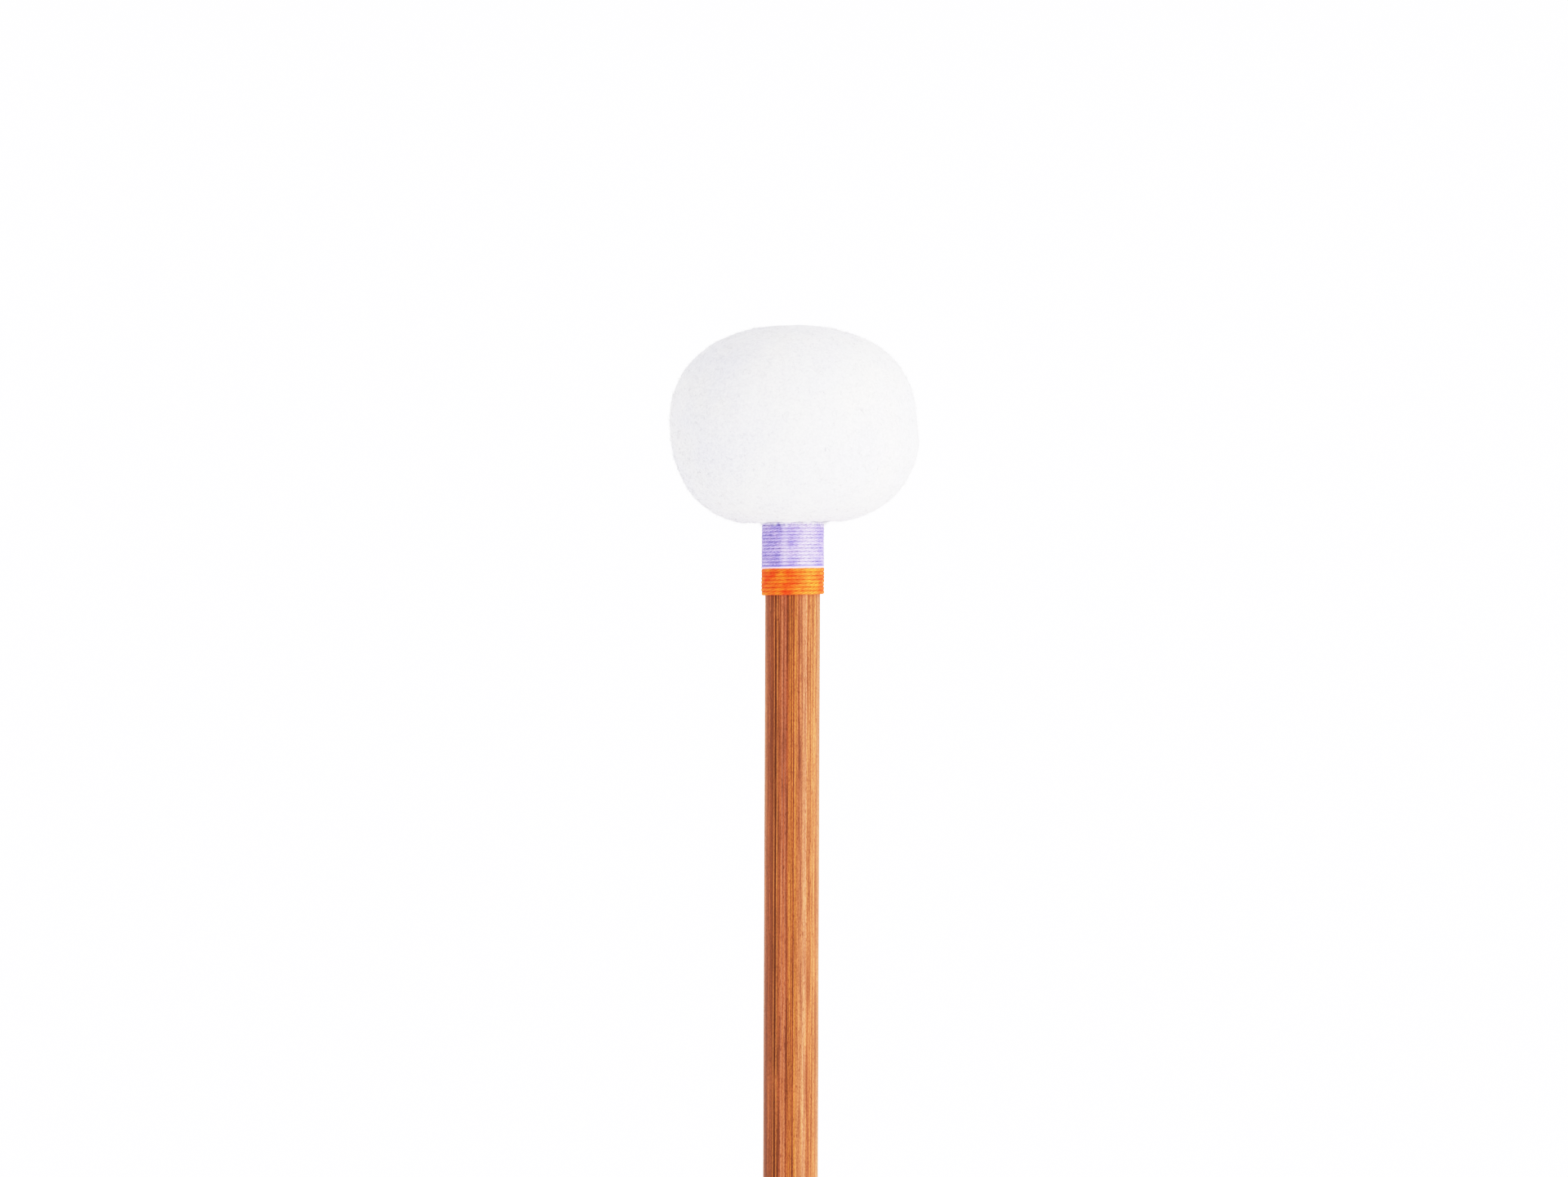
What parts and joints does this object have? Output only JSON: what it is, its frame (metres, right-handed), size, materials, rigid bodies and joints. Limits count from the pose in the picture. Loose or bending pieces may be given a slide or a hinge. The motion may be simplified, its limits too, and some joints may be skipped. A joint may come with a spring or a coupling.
{
  "type": "timpani mallet",
  "caption": "Timpani mallet: a round varnished bamboo shaft with a soft white felt-covered head drawn in at the neck, and a lavender and an orange thread binding below it.",
  "frame": {"origin": "centre of the flat face at the shaft's butt end, the lowest point of the mallet with its head up", "axes": "+Z along the shaft, from the butt end to the top of the head; +Y points away from a viewer at the front, +X to that viewer's right"},
  "size_m": [0.048, 0.048, 0.38],
  "materials": {
    "bamboo": "carbonised laminated bamboo, turned round, clear satin varnish",
    "core_wood": "turned hardwood, unfinished",
    "packing_felt": "dense pressed wool felt",
    "cover_felt": "soft white napped felt, matte",
    "tie_thread": "plain white twisted thread",
    "lavender_thread": "lavender twisted thread, close wound",
    "orange_thread": "orange twisted thread, close wound"
  },
  "bodies": {
    "root": {"shaft": "bamboo", "core": "core_wood", "inner_felt_band": "packing_felt", "outer_felt_band": "packing_felt", "top_felt_disc": "packing_felt", "bottom_felt_washer": "packing_felt", "cover": "cover_felt", "neck_tie": "tie_thread", "lavender_binding": "lavender_thread", "orange_binding": "orange_thread"}
  },
  "joints": []
}
